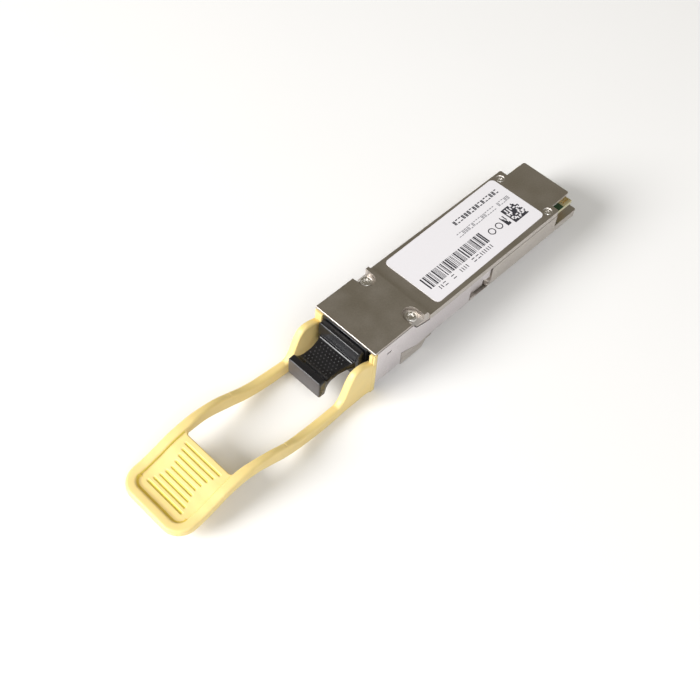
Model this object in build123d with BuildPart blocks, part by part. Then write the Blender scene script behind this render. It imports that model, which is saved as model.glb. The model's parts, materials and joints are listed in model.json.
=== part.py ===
"""Pluggable optical transceiver with a multi-fibre port, a pull-tab release and a dust plug.

Frame: X runs from the optical port (X = 0) to the card edge, Y is across, +Z points out of the
labelled face. The origin is on the optical axis, in the plane of the nose's front edge.
All lengths are in millimetres.
"""
from build123d import *
import os

os.makedirs("parts", exist_ok=True)

# ---------------------------------------------------------------- driving dimensions
# die-cast shell
BODY_HALF_WIDTH = 18.35 / 2
BODY_TOP = 4.25
BODY_BOTTOM = -4.25
BODY_END = 63.8
BOTTOM_ROUND = 1.1
LABEL_SECTION_START = 17.6
NOSE_END = 16.6
NOSE_TOP = 5.8
NOSE_HALF_WIDTH = 8.96
NOSE_LIP = 0.6
NOSE_EDGE_ROUND = 0.2
PARTING = 2.55
FLOOR = -3.25
CEILING = 3.25
SHROUD_END = 72.4
SHROUD_TOP = -1.25
TONGUE_END = 70.45
TONGUE_HALF_WIDTH = 7.0
TONGUE_THICKNESS = 0.8
RIDGE_START = 9.3
RIDGE_BOTTOM = -7.7
RIDGE_HALF_WIDTH = 8.6
NOSE_WALL_OUTER = 8.55
NOSE_UNDERSIDE = -5.2
RELIEF_INNER = 7.9
SEAM_HEIGHT = 0.12
SEAM_INNER = 9.03

# bays inside the shell
RECEPTACLE_WALL = 10.7
BAY_START = 18.6
BAY_STEP = 41
BAY_END = 59.9
REAR_BAY_END = 62.8
PASSAGE_Y = (-4.7, 4.7)
NARROW_BAY_Y = (-6.6, 6.6)
WIDE_BAY_Y = (-8.3, 8.3)
REAR_BAY_Y = (-6.1, 6.1)
CHIP_X = (43, 48)
CHIP_INNER = 1.0
CHIP_OUTER = 6.0
CHIP_HEIGHT = 0.8
PEDESTAL_TOP = -0.1

# release slider, stamped from strip
PLATE_INNER = 8.65
PLATE_THICKNESS = 0.45
PLATE_OUTER = PLATE_INNER + PLATE_THICKNESS
PLATE_FRONT = 0.9
PLATE_END = 32.3
PLATE_TOP = 2.4
PLATE_BOTTOM = -3.75
PLATE_NOSE_TOP = 5.15
PLATE_NOSE_BOTTOM = -5.75
LATCH_OUTER = 8.45
LATCH_INNER = 8.0
LATCH_RAMP_OUTER = 8.9
LATCH_LOW = -2.6
LATCH_STEP = -0.6
LATCH_HIGH = 2.2
LATCH_SHORT_END = 37.3
LATCH_TIP = 39.3
LATCH_NECK = 33.05
CHANNEL_FLOOR = 8.6
POCKET_START = 27.9
POCKET_END = 39.7
POCKET_DEPTH_AT = 7.4
POCKET_STEP = 38.15
POCKET_SHALLOW_AT = 8.4
RELIEF_SLOT_X = (34.4, 38.6)
SPY_HOLE_X = 4.75
SPY_HOLE_Z = 2.25
SPY_HOLE_LENGTH = 1.5
SPY_HOLE_HEIGHT = 0.45

# fasteners
FRONT_SCREW_X = 13.6
FRONT_SCREW_Y = 6.75
FRONT_HEAD_RADIUS = 1.45
FRONT_HEAD_TOP = 5.3
FRONT_SEAT = 4.6
FRONT_RECESS_RADIUS = 2.05
FRONT_SHANK_RADIUS = 0.78
REAR_SCREW_X = 61.6
REAR_SCREW_Y = 7.4
REAR_HEAD_RADIUS = 1.1
REAR_HEAD_HEIGHT = 0.6
REAR_SHANK_RADIUS = 0.55
THREAD_CLEARANCE = 0.02

# optical port
RECEPTACLE_HALF_WIDTH = 7.4
RECEPTACLE_BOTTOM = -4.6
RECEPTACLE_TOP = 5.1
RECEPTACLE_END = 10.6
COLLAR_HALF_WIDTH = 6.5
COLLAR_TOP = 4.75
COLLAR_FRONT = 0.0
COLLAR_ROUND = 0.2
FLANGE_FRONT = 1.1
FLANGE_END = 1.5
PORT_HALF_WIDTH = 5.0
PORT_HALF_HEIGHT = 3.6
FERRULE_FRONT = 7.0
FERRULE_END = 15.0
GUIDE_PIN_RADIUS = 0.35
GUIDE_PIN_Y = 2.3

# board
BOARD_BOTTOM = 1.15
BOARD_TOP = 2.15
BOARD_START = 24.0
BOARD_END = 71.0
CARD_EDGE_HALF_WIDTH = 16.42 / 2
CONTACT_COUNT = 19
CONTACT_PITCH = 0.8

# pull tab, moulded over the slider's tangs
ARM_OUTER = 9.1
STRAP_OUTER = 9.45
TAB_TIP = -55.4
PAD_REAR = -38.9
PAD_RIM = 2.3
PAD_RECESS_DEPTH = 0.8
LUG_INNER_FAR = 6.75
LUG_INNER_NEAR = 7.75
LUG_OUTER = 9.05
LUG_TOP = 4.75
LUG_BOTTOM = 0.65

# dust plug
PLUG_HALF_WIDTH = 4.9
PLUG_LIP_HALF_HEIGHT = 2.8
PLUG_TIP = -12.2
FLANGE_HALF_WIDTH = 6.2
FLANGE_HALF_HEIGHT = 4.35


# ---------------------------------------------------------------- helpers
def block(x, y, z, mode=Mode.ADD):
    """Add or cut a box given its low and high bound on each axis."""
    centre = ((x[0] + x[1]) / 2, (y[0] + y[1]) / 2, (z[0] + z[1]) / 2)
    with Locations(centre):
        Box(x[1] - x[0], y[1] - y[0], z[1] - z[0], mode=mode)


def side_blocks(x, y, z, mode=Mode.ADD):
    """The same box on both sides of the centre plane; y is given for the +Y side."""
    block(x, y, z, mode)
    block(x, (-y[1], -y[0]), z, mode)


def post(x, y, z, radius, mode=Mode.ADD):
    """Add or cut an upright cylinder that runs from z[0] to z[1]."""
    with Locations((x, y, (z[0] + z[1]) / 2)):
        Cylinder(radius, z[1] - z[0], mode=mode)


def bar(x, y, z, radius, mode=Mode.ADD):
    """Add or cut a cylinder that lies along X and runs from x[0] to x[1]."""
    with Locations(((x[0] + x[1]) / 2, y, z)):
        Cylinder(radius, x[1] - x[0], rotation=(0, 90, 0), mode=mode)


def finish(piece, name):
    """Label a finished piece and write it."""
    piece.part.label = name
    export_step(piece.part, f"parts/{name}.step")


BOTH_SIDES = (-1, 1)

# ---------------------------------------------------------------- top cover
with BuildPart() as top_cover:
    with BuildSketch(Plane.XZ):
        with BuildLine():
            Polyline(
                (0, PARTING),
                (0, NOSE_TOP),
                (NOSE_END, NOSE_TOP),
                (LABEL_SECTION_START, BODY_TOP),
                (BODY_END, BODY_TOP),
                (BODY_END, PARTING),
                close=True,
            )
        make_face()
    extrude(amount=NOSE_HALF_WIDTH, both=True)
    # the nose plate's front edge is rolled over
    front_edges = top_cover.edges().filter_by(Axis.Y).group_by(Axis.X)[0]
    fillet(front_edges.sort_by(Axis.Z)[-1], NOSE_EDGE_ROUND)
    block((LABEL_SECTION_START, BODY_END), (-BODY_HALF_WIDTH, BODY_HALF_WIDTH), (PARTING, BODY_TOP))
    fillet(top_cover.edges().filter_by(Axis.Z).group_by(Axis.X)[-1], 0.4)
    # channel for the slider plates under the nose lip, with a sloped rear end
    with BuildSketch(Plane.XZ):
        with BuildLine():
            Polyline(
                (-1, NOSE_TOP - NOSE_LIP),
                (12.2, NOSE_TOP - NOSE_LIP),
                (13.55, 3.45),
                (LABEL_SECTION_START, PARTING),
                (LABEL_SECTION_START, PARTING - 1),
                (-1, PARTING - 1),
                close=True,
            )
        make_face()
    extrude(amount=NOSE_HALF_WIDTH + 1, both=True, mode=Mode.SUBTRACT)
    side_wall_x = (1.5, 12.5)
    side_blocks(side_wall_x, (RECEPTACLE_HALF_WIDTH + 0.05, NOSE_WALL_OUTER), (PARTING, NOSE_TOP - 0.1))
    wall_y = (-NOSE_WALL_OUTER, NOSE_WALL_OUTER)
    block((RECEPTACLE_WALL, 13.5), wall_y, (PARTING, NOSE_TOP - 0.1))
    block((13.4, LABEL_SECTION_START), wall_y, (PARTING, BODY_TOP - 0.1))
    # hollow: fibre passage, board bay, screw corners left solid
    block((RECEPTACLE_WALL, BAY_START), PASSAGE_Y, (0, CEILING), Mode.SUBTRACT)
    block((BAY_START, BAY_STEP), NARROW_BAY_Y, (0, CEILING), Mode.SUBTRACT)
    block((BAY_STEP, BAY_END), WIDE_BAY_Y, (0, CEILING), Mode.SUBTRACT)
    block((BAY_END, REAR_BAY_END), REAR_BAY_Y, (0, CEILING), Mode.SUBTRACT)
    # shadow groove along the parting line
    seam_z = (PARTING, PARTING + SEAM_HEIGHT)
    side_blocks((LABEL_SECTION_START, BODY_END), (SEAM_INNER, 10), seam_z, Mode.SUBTRACT)
    # tongue over the card edge
    tongue_z = (BODY_TOP - TONGUE_THICKNESS, BODY_TOP)
    block((BODY_END - 1, TONGUE_END), (-TONGUE_HALF_WIDTH, TONGUE_HALF_WIDTH), tongue_z)
    fillet(top_cover.edges().filter_by(Axis.Z).group_by(Axis.X)[-1], 0.6)
    for side in BOTH_SIDES:
        # round screw recess at the nose, open to the outside
        post(FRONT_SCREW_X, side * FRONT_SCREW_Y, (FRONT_SEAT, 8), FRONT_RECESS_RADIUS, Mode.SUBTRACT)
        notch_x = (FRONT_SCREW_X - FRONT_RECESS_RADIUS, FRONT_SCREW_X + FRONT_RECESS_RADIUS)
        notch_y = sorted((side * FRONT_SCREW_Y, side * 10))
        block(notch_x, notch_y, (FRONT_SEAT, 8), Mode.SUBTRACT)
        # the recess floor falls away towards the outside
        with BuildSketch(Plane.YZ.offset(notch_x[0])):
            with BuildLine():
                Polyline(
                    (side * (FRONT_SCREW_Y + 1.25), FRONT_SEAT),
                    (side * 9.2, 3.75),
                    (side * 9.2, FRONT_SEAT),
                    close=True,
                )
            make_face()
        extrude(amount=2 * FRONT_RECESS_RADIUS, mode=Mode.SUBTRACT)
        post(FRONT_SCREW_X, side * FRONT_SCREW_Y, (0, 8), FRONT_SHANK_RADIUS + 0.05, Mode.SUBTRACT)
        with Locations((REAR_SCREW_X, side * REAR_SCREW_Y, BODY_TOP)):
            CounterSinkHole(REAR_SHANK_RADIUS + 0.05, REAR_HEAD_RADIUS + 0.05, depth=BODY_TOP - PARTING)
finish(top_cover, "top_cover")

# ---------------------------------------------------------------- lower housing
with BuildPart() as lower_housing:
    # side silhouette: nose floor, ridge, body and card-edge shroud
    with BuildSketch(Plane.XZ):
        with BuildLine():
            Polyline(
                (0, PARTING),
                (0, NOSE_UNDERSIDE),
                (RIDGE_START, NOSE_UNDERSIDE),
                (RIDGE_START, RIDGE_BOTTOM),
                (17.0, RIDGE_BOTTOM),
                (18.4, -5.05),
                (18.9, BODY_BOTTOM),
                (SHROUD_END, BODY_BOTTOM),
                (SHROUD_END, SHROUD_TOP),
                (BODY_END, SHROUD_TOP),
                (BODY_END, PARTING),
                close=True,
            )
        make_face()
    extrude(amount=BODY_HALF_WIDTH, both=True)
    # rounded long edges underneath
    long_edges = lower_housing.edges().filter_by(Axis.X)
    fillet(long_edges.filter_by_position(Axis.Z, BODY_BOTTOM - 0.1, BODY_BOTTOM + 0.1), BOTTOM_ROUND)
    # the nose and ridge stand in from the slider plates
    side_blocks((-1, 17.6), (NOSE_WALL_OUTER, 10), (-6, 3), Mode.SUBTRACT)
    side_blocks((-1, 20), (RIDGE_HALF_WIDTH, 10), (-9, BODY_BOTTOM), Mode.SUBTRACT)
    side_blocks((-1, 17.6), (RIDGE_HALF_WIDTH, 10), (-9, 3), Mode.SUBTRACT)
    # relief behind the lower edge of the slider plates
    for side in BOTH_SIDES:
        with BuildSketch(Plane.XZ.offset(-side * RELIEF_INNER)):
            with BuildLine():
                Polyline(
                    (8.9, -9),
                    (9.95, -9),
                    (9.95, -3.45),
                    (15.0, -5.15),
                    (15.0, -2),
                    (8.9, -2),
                    close=True,
                )
            make_face()
        extrude(amount=-side * 2, mode=Mode.SUBTRACT)
    # shadow groove along the parting line
    side_blocks((PLATE_END, BODY_END), (SEAM_INNER, 10), (PARTING - SEAM_HEIGHT, PARTING), Mode.SUBTRACT)
    # blind holes behind the spy holes in the slider plates
    blind_x = (SPY_HOLE_X - SPY_HOLE_LENGTH / 2, SPY_HOLE_X + SPY_HOLE_LENGTH / 2)
    blind_z = (SPY_HOLE_Z - SPY_HOLE_HEIGHT / 2, SPY_HOLE_Z + SPY_HOLE_HEIGHT / 2)
    side_blocks(blind_x, (RELIEF_INNER, 10), blind_z, Mode.SUBTRACT)
    # slider channels
    side_blocks((17, PLATE_END + 0.2), (CHANNEL_FLOOR, 10), (PLATE_BOTTOM - 0.05, 3), Mode.SUBTRACT)
    # rounded rear of the card-edge shroud and the ends of the side walls
    fillet(lower_housing.edges().filter_by(Axis.Z).group_by(Axis.X)[-1], 0.5)
    # receptacle bay, fibre passage
    block((-1, 1.5), (-10, 10), (RECEPTACLE_BOTTOM - 0.05, 3), Mode.SUBTRACT)
    bay_half = RECEPTACLE_HALF_WIDTH + 0.05
    block((-1, RECEPTACLE_WALL), (-bay_half, bay_half), (RECEPTACLE_BOTTOM - 0.05, 3), Mode.SUBTRACT)
    block((RECEPTACLE_WALL - 0.1, BAY_START + 0.1), PASSAGE_Y, (-2.6, 3), Mode.SUBTRACT)
    # board bay: narrow beside the latch pockets, wide behind them, with ledges under the board
    block((BAY_START, BAY_STEP), (-5.6, 5.6), (FLOOR, 3), Mode.SUBTRACT)
    block((BAY_START, BAY_STEP), NARROW_BAY_Y, (BOARD_BOTTOM, 3), Mode.SUBTRACT)
    block((BAY_STEP - 0.1, BAY_END), (-7.4, 7.4), (FLOOR, 3), Mode.SUBTRACT)
    block((BAY_STEP - 0.1, BAY_END), WIDE_BAY_Y, (BOARD_BOTTOM, 3), Mode.SUBTRACT)
    block((BAY_END - 0.1, REAR_BAY_END), REAR_BAY_Y, (FLOOR, 3), Mode.SUBTRACT)
    block((REAR_BAY_END - 0.1, 65), REAR_BAY_Y, (BOARD_BOTTOM - 0.05, 3), Mode.SUBTRACT)
    # pedestals that carry heat from the chips to the floor
    for side in BOTH_SIDES:
        pedestal_y = sorted((side * CHIP_INNER, side * CHIP_OUTER))
        block(CHIP_X, pedestal_y, (FLOOR - 0.2, PEDESTAL_TOP))
    # latch pockets with a rounded rear wall
    for side in BOTH_SIDES:
        pocket_y = sorted((side * POCKET_DEPTH_AT, side * 10))
        shallow_y = sorted((side * POCKET_SHALLOW_AT, side * 10))
        block((POCKET_START, POCKET_STEP), pocket_y, (LATCH_LOW - 0.1, 3), Mode.SUBTRACT)
        block((POCKET_STEP - 0.1, POCKET_END), shallow_y, (LATCH_LOW + 0.5, 3), Mode.SUBTRACT)
        with Locations((POCKET_END - 0.6, side * (POCKET_SHALLOW_AT + 0.8), LATCH_LOW + 0.5)):
            Cylinder(0.6, 1.6, rotation=(90, 0, 0), mode=Mode.SUBTRACT)
        block(RELIEF_SLOT_X, pocket_y, (FLOOR, LATCH_LOW), Mode.SUBTRACT)
        # return spring pocket, open to the slider channel
        spring_y = sorted((side * 7.1, side * 8.65))
        block((19.0, 26.6), spring_y, (-2.95, -1.45), Mode.SUBTRACT)
        # screw holes
        front_radius = FRONT_SHANK_RADIUS + THREAD_CLEARANCE
        post(FRONT_SCREW_X, side * FRONT_SCREW_Y, (-2.0, 3), front_radius, Mode.SUBTRACT)
        rear_radius = REAR_SHANK_RADIUS + THREAD_CLEARANCE
        post(REAR_SCREW_X, side * REAR_SCREW_Y, (-1.0, 3), rear_radius, Mode.SUBTRACT)
    # soften the ridge's front lower corner
    ridge_front = lower_housing.edges().filter_by(Axis.Y).group_by(Axis.Z)[0].sort_by(Axis.X)[0]
    fillet(ridge_front, 0.8)
finish(lower_housing, "lower_housing")

# ---------------------------------------------------------------- screws
with BuildPart() as front_screws:
    for side in BOTH_SIDES:
        y = side * FRONT_SCREW_Y
        post(FRONT_SCREW_X, y, (FRONT_SEAT, FRONT_HEAD_TOP), FRONT_HEAD_RADIUS)
        post(FRONT_SCREW_X, y, (-1.8, FRONT_SEAT), FRONT_SHANK_RADIUS)
    fillet(front_screws.edges().filter_by(GeomType.CIRCLE).group_by(Axis.Z)[-1], 0.25)
    for side in BOTH_SIDES:
        with BuildSketch(Plane.XY.offset(FRONT_HEAD_TOP)):
            with Locations((FRONT_SCREW_X, side * FRONT_SCREW_Y)):
                RegularPolygon(0.75, 6)
        extrude(amount=-0.4, mode=Mode.SUBTRACT)
finish(front_screws, "front_screws")

with BuildPart() as rear_screws:
    for side in BOTH_SIDES:
        y = side * REAR_SCREW_Y
        post(REAR_SCREW_X, y, (-0.9, BODY_TOP - 0.1), REAR_SHANK_RADIUS)
        with Locations((REAR_SCREW_X, y, BODY_TOP - 0.05 - REAR_HEAD_HEIGHT / 2)):
            Cone(REAR_SHANK_RADIUS - 0.05, REAR_HEAD_RADIUS - 0.05, REAR_HEAD_HEIGHT)
    for side in BOTH_SIDES:
        with BuildSketch(Plane.XY.offset(BODY_TOP - 0.05)):
            with Locations((REAR_SCREW_X, side * REAR_SCREW_Y)):
                RegularPolygon(0.5, 6)
        extrude(amount=-0.35, mode=Mode.SUBTRACT)
finish(rear_screws, "rear_screws")

# ---------------------------------------------------------------- label
LABEL_LENGTH = 38.9
LABEL_WIDTH = 16.3
LABEL_CENTRE = (40.55, 0.28)
LABEL_TURN = 0.75
LABEL_THICKNESS = 0.08
with BuildPart() as label:
    with BuildSketch(Plane.XY.offset(BODY_TOP)):
        with Locations(Location((LABEL_CENTRE[0], LABEL_CENTRE[1], 0), (0, 0, LABEL_TURN))):
            RectangleRounded(LABEL_LENGTH, LABEL_WIDTH, 1.2)
    extrude(amount=LABEL_THICKNESS)
finish(label, "label")

# ---------------------------------------------------------------- release slider
with BuildPart() as release_slider:
    with BuildSketch(Plane.XZ.offset(PLATE_INNER)):
        with BuildLine():
            Polyline(
                (PLATE_FRONT, PLATE_NOSE_BOTTOM),
                (PLATE_FRONT, PLATE_NOSE_TOP),
                (11.95, PLATE_NOSE_TOP),
                (13.3, 3.35),
                (17.3, PLATE_TOP),
                (PLATE_END, PLATE_TOP),
                (PLATE_END, PLATE_BOTTOM),
                (14.0, PLATE_BOTTOM),
                (9.0, -1.95),
                (9.0, PLATE_NOSE_BOTTOM),
                close=True,
            )
        make_face()
        with Locations((SPY_HOLE_X, SPY_HOLE_Z)):
            SlotOverall(SPY_HOLE_LENGTH, SPY_HOLE_HEIGHT, mode=Mode.SUBTRACT)
    extrude(amount=PLATE_THICKNESS)
    # tang that the pull tab is moulded over
    block((-5, PLATE_FRONT + 0.5), (-PLATE_INNER, -8.2), (-4.6, 0.6))
    # latch spring end: joggled inwards, then a ramp that lifts the cage's tab
    with BuildSketch(Plane.XY.offset(LATCH_LOW)):
        with BuildLine():
            Polyline(
                (PLATE_END - 1.2, -PLATE_INNER),
                (PLATE_END - 0.5, -LATCH_OUTER),
                (37.0, -LATCH_OUTER),
                (37.9, -LATCH_RAMP_OUTER),
                (LATCH_TIP, -LATCH_RAMP_OUTER),
                (LATCH_TIP, PLATE_THICKNESS - LATCH_RAMP_OUTER),
                (38.1, PLATE_THICKNESS - LATCH_RAMP_OUTER),
                (37.2, -LATCH_INNER),
                (PLATE_END - 0.6, -LATCH_INNER),
                (PLATE_END - 1.7, -PLATE_INNER),
                close=True,
            )
        make_face()
    extrude(amount=LATCH_HIGH - LATCH_LOW)
    block((LATCH_SHORT_END, LATCH_TIP + 1), (-10, -7), (LATCH_LOW, LATCH_STEP), Mode.SUBTRACT)
    # the latch end hangs on a narrower neck
    neck_slot_x = (LATCH_NECK, LATCH_NECK + 0.4)
    block(neck_slot_x, (-10, -7), (1.1, 3), Mode.SUBTRACT)
    block(neck_slot_x, (-10, -7), (LATCH_LOW - 1, -0.9), Mode.SUBTRACT)
    # ear that pushes on the return spring
    block((26.0, 26.45), (-PLATE_INNER, -7.25), (-2.8, -1.6))
    mirror(about=Plane.XZ)
    # bridge under the nose
    block((1.6, 8.6), (-PLATE_OUTER, PLATE_OUTER), (PLATE_NOSE_BOTTOM, PLATE_NOSE_BOTTOM + PLATE_THICKNESS))
finish(release_slider, "release_slider")

# ---------------------------------------------------------------- pull tab
strap_top = [
    (-10.5, -4.5), (-14, -4.45), (-18, -4.1), (-22, -3.2), (-26, -1.65), (-30, -0.2),
    (-34, 0.55), (-38, 0.55), (-42, -0.2), (-46, -1.5), (-50, -2.5), (TAB_TIP, -2.9),
]
shoulder = [
    (PLATE_FRONT, 1.6), (-1.2, 2.75), (-2.5, 3.25), (-4, 3.5), (-5.2, 3.25), (-6.2, 2.35),
    (-7.0, 0.9), (-7.7, -0.8), (-8.3, -2.4), (-9.2, -3.75), (-10.5, -4.5),
]
strap_bottom = [
    (TAB_TIP, -5.0), (-50, -4.95), (-46, -3.9), (-42, -2.6), (-38, -2.05), (-34, -2.6),
    (-30, -4.1), (-26, -5.8), (-22, -6.8), (-18, -7.35), (-14, -7.8), (-8, -8.0),
]
window_edge = [
    (PAD_REAR + 0.9, 7.15), (-34, 7.5), (-30, 7.75), (-26, 7.85),
    (-22, 7.5), (-18, 7.25), (-10, 7.1), (-0.15, 7.1),
]
with BuildPart() as pull_tab:
    # side silhouette: tall block at the nose, low strap, raised waist, pad
    with BuildSketch(Plane.XZ):
        with BuildLine():
            Polyline((-8, -8), (PLATE_FRONT, -8), shoulder[0])
            Spline(*shoulder, tangents=[(-1, 0.4), (-1, 0)])
            Spline(*strap_top)
            Line(strap_top[-1], strap_bottom[0])
            Spline(*strap_bottom)
        make_face()
    extrude(amount=STRAP_OUTER, both=True)
    # plan outline, rounded at the tip, narrower at the nose
    with BuildSketch(Plane.XY.offset(-10)) as plan:
        with BuildLine():
            Polyline((TAB_TIP, 0), (TAB_TIP, STRAP_OUTER), (-32, STRAP_OUTER), (-18, 9.3), (-10, ARM_OUTER))
            Polyline((-10, ARM_OUTER), (PLATE_FRONT, ARM_OUTER), (PLATE_FRONT, 0), (TAB_TIP, 0))
        make_face()
        fillet(plan.vertices().group_by(Axis.X)[0].sort_by(Axis.Y)[-1], 4.5)
        mirror(about=Plane.XZ)
    extrude(amount=20, mode=Mode.INTERSECT)
    # finger window between the arms
    with BuildSketch(Plane.XY.offset(-10)):
        with BuildLine():
            Polyline((-0.15, 7.1), (-0.15, 0), (PAD_REAR, 0), (PAD_REAR, 6.3))
            ThreePointArc((PAD_REAR, 6.3), (PAD_REAR + 0.26, 6.92), window_edge[0])
            Spline(*window_edge)
        make_face()
        mirror(about=Plane.XZ)
    extrude(amount=20, mode=Mode.SUBTRACT)
    block((-0.15, 2), (-8.6, 8.6), (-9, 9), Mode.SUBTRACT)
    # lugs that cap the slider plates below the nose lip
    block((-0.4, PLATE_FRONT), (LUG_INNER_FAR, PLATE_INNER), (LUG_BOTTOM, LUG_TOP))
    block((-0.4, PLATE_FRONT), (-PLATE_INNER, -LUG_INNER_NEAR), (LUG_BOTTOM, LUG_TOP))
    side_blocks((-0.1, PLATE_FRONT), (PLATE_INNER, LUG_OUTER), (0, LUG_TOP))
    # room for the tangs inside the mould
    side_blocks((-5, PLATE_FRONT), (8.2, PLATE_INNER), (-4.6, 0.6), Mode.SUBTRACT)
    # sunken pad floor, open towards the nose
    with BuildSketch(Plane.XZ):
        with BuildLine():
            Spline(*[(x, z - PAD_RECESS_DEPTH) for x, z in strap_top[6:]])
            Polyline(
                (TAB_TIP, strap_top[-1][1] - PAD_RECESS_DEPTH),
                (TAB_TIP, 3),
                (-34, 3),
                (-34, strap_top[6][1] - PAD_RECESS_DEPTH),
            )
        make_face()
    recess = extrude(amount=STRAP_OUTER - PAD_RIM, both=True, mode=Mode.PRIVATE)
    with BuildSketch(Plane.XY.offset(-10), mode=Mode.PRIVATE) as recess_plan:
        with Locations(((TAB_TIP + PAD_RIM - 30) / 2, 0)):
            RectangleRounded(-30 - TAB_TIP - PAD_RIM, 2 * (STRAP_OUTER - PAD_RIM), 2.2)
    add(recess & extrude(recess_plan.sketch, amount=20, mode=Mode.PRIVATE), mode=Mode.SUBTRACT)
finish(pull_tab, "pull_tab")

# ---------------------------------------------------------------- return springs
SPRING_RADIUS = 0.54
SPRING_WIRE_RADIUS = 0.11
SPRING_Y = 7.85
SPRING_Z = -2.2
SPRING_START = 19.12
SPRING_END = 25.88
SPRING_PITCH = 0.75
for side_name, side in (("left", 1), ("right", -1)):
    spring_start = (SPRING_START, side * SPRING_Y, SPRING_Z)
    with BuildPart() as return_spring:
        with BuildLine():
            coil = Helix(
                pitch=SPRING_PITCH,
                height=SPRING_END - SPRING_START,
                radius=SPRING_RADIUS,
                center=spring_start,
                direction=(1, 0, 0),
            )
        with BuildSketch(Plane(origin=coil @ 0, z_dir=coil % 0)):
            Circle(SPRING_WIRE_RADIUS)
        sweep(path=coil, is_frenet=True)
    finish(return_spring, f"return_spring_{side_name}")

# ---------------------------------------------------------------- optical port pieces
with BuildPart() as mpo_receptacle:
    body_y = (-RECEPTACLE_HALF_WIDTH, RECEPTACLE_HALF_WIDTH)
    block((FLANGE_END, RECEPTACLE_END), body_y, (RECEPTACLE_BOTTOM, RECEPTACLE_TOP))
    block((FLANGE_FRONT, FLANGE_END), (-8.1, 8.1), (RECEPTACLE_BOTTOM, RECEPTACLE_TOP))
    collar_y = (-COLLAR_HALF_WIDTH, COLLAR_HALF_WIDTH)
    block((COLLAR_FRONT, FLANGE_FRONT), collar_y, (RECEPTACLE_BOTTOM, COLLAR_TOP))
    collar_edges = mpo_receptacle.edges().filter_by(Axis.Y).group_by(Axis.X)[0]
    fillet(collar_edges.sort_by(Axis.Z)[-1], COLLAR_ROUND)
    port_z = (-PORT_HALF_HEIGHT, PORT_HALF_HEIGHT)
    block((-1, 11), (-PORT_HALF_WIDTH, PORT_HALF_WIDTH), port_z, Mode.SUBTRACT)
    # keyway for the connector's key
    block((-1, 8), (-1.6, 1.6), (0, PORT_HALF_HEIGHT + 0.6), Mode.SUBTRACT)
    front = mpo_receptacle.faces().sort_by(Axis.X)[0]
    chamfer(front.inner_wires().edges(), 0.2)
finish(mpo_receptacle, "mpo_receptacle")

with BuildPart() as mt_ferrule:
    block((FERRULE_FRONT, FERRULE_END), (-3.2, 3.2), (-1.25, 1.25))
    block((FERRULE_END - 2, FERRULE_END), (-3.6, 3.6), (-1.5, 1.5))
    for side in BOTH_SIDES:
        bar((0, 20), side * GUIDE_PIN_Y, 0, GUIDE_PIN_RADIUS + 0.02, Mode.SUBTRACT)
    block((FERRULE_END - 4, FERRULE_END + 1), (-1.57, 1.57), (-0.2, 0.2), Mode.SUBTRACT)
    chamfer(mt_ferrule.faces().sort_by(Axis.X)[0].outer_wire().edges(), 0.2)
finish(mt_ferrule, "mt_ferrule")

with BuildPart() as guide_pins:
    for side in BOTH_SIDES:
        bar((5.1, 16.0), side * GUIDE_PIN_Y, 0, GUIDE_PIN_RADIUS)
    chamfer(guide_pins.edges().group_by(Axis.X)[0], 0.15)
finish(guide_pins, "guide_pins")

with BuildPart() as pin_keeper:
    block((FERRULE_END, 16.2), (-3.5, 3.5), (-1.5, 1.5))
    block((14, 17), (-1.65, 1.65), (-0.5, 0.5), Mode.SUBTRACT)
    for side in BOTH_SIDES:
        bar((14, 17), side * GUIDE_PIN_Y, 0, GUIDE_PIN_RADIUS + 0.02, Mode.SUBTRACT)
finish(pin_keeper, "pin_keeper")

with BuildPart() as ferrule_holder:
    # frame round the ferrule, with the two hooked arms that grip the fibre connector
    block((10.65, 12.9), (-4.6, 4.6), (-2.5, 2.5))
    block((10, 14), (-3.25, 3.25), (-1.3, 1.3), Mode.SUBTRACT)
    side_blocks((2.6, 11), (4.2, 4.6), (-1.4, 1.4))
    side_blocks((2.6, 3.3), (4.0, 4.3), (-1.4, 1.4))
finish(ferrule_holder, "ferrule_holder")

with BuildPart() as fiber_ribbon:
    block((FERRULE_END - 3.9, 26.2), (-1.55, 1.55), (-0.15, 0.15))
finish(fiber_ribbon, "fiber_ribbon")

# ---------------------------------------------------------------- board
with BuildPart() as main_board:
    block((BOARD_START, BAY_STEP), (-6.4, 6.4), (BOARD_BOTTOM, BOARD_TOP))
    block((BAY_STEP, 59.4), (-8.1, 8.1), (BOARD_BOTTOM, BOARD_TOP))
    block((59.4, 64.0), (-5.9, 5.9), (BOARD_BOTTOM, BOARD_TOP))
    edge_y = (-CARD_EDGE_HALF_WIDTH, CARD_EDGE_HALF_WIDTH)
    block((64.0, BOARD_END), edge_y, (BOARD_BOTTOM, BOARD_TOP))
    chamfer(main_board.edges().filter_by(Axis.Y).group_by(Axis.X)[-1], 0.25)
finish(main_board, "main_board")

CONTACT_THICKNESS = 0.03
contact_rows = (
    ("edge_contacts_top", (BOARD_TOP, BOARD_TOP + CONTACT_THICKNESS)),
    ("edge_contacts_bottom", (BOARD_BOTTOM - CONTACT_THICKNESS, BOARD_BOTTOM)),
)
for row_name, row_z in contact_rows:
    with BuildPart() as edge_contacts:
        for index in range(CONTACT_COUNT):
            centre_y = (index - (CONTACT_COUNT - 1) / 2) * CONTACT_PITCH
            block((68.3, 70.5), (centre_y - 0.27, centre_y + 0.27), row_z)
    finish(edge_contacts, row_name)

with BuildPart() as transmit_retimer:
    block(CHIP_X, (-CHIP_OUTER, -CHIP_INNER), (BOARD_BOTTOM - CHIP_HEIGHT, BOARD_BOTTOM))
finish(transmit_retimer, "transmit_retimer")

with BuildPart() as receive_retimer:
    block(CHIP_X, (CHIP_INNER, CHIP_OUTER), (BOARD_BOTTOM - CHIP_HEIGHT, BOARD_BOTTOM))
finish(receive_retimer, "receive_retimer")

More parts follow.
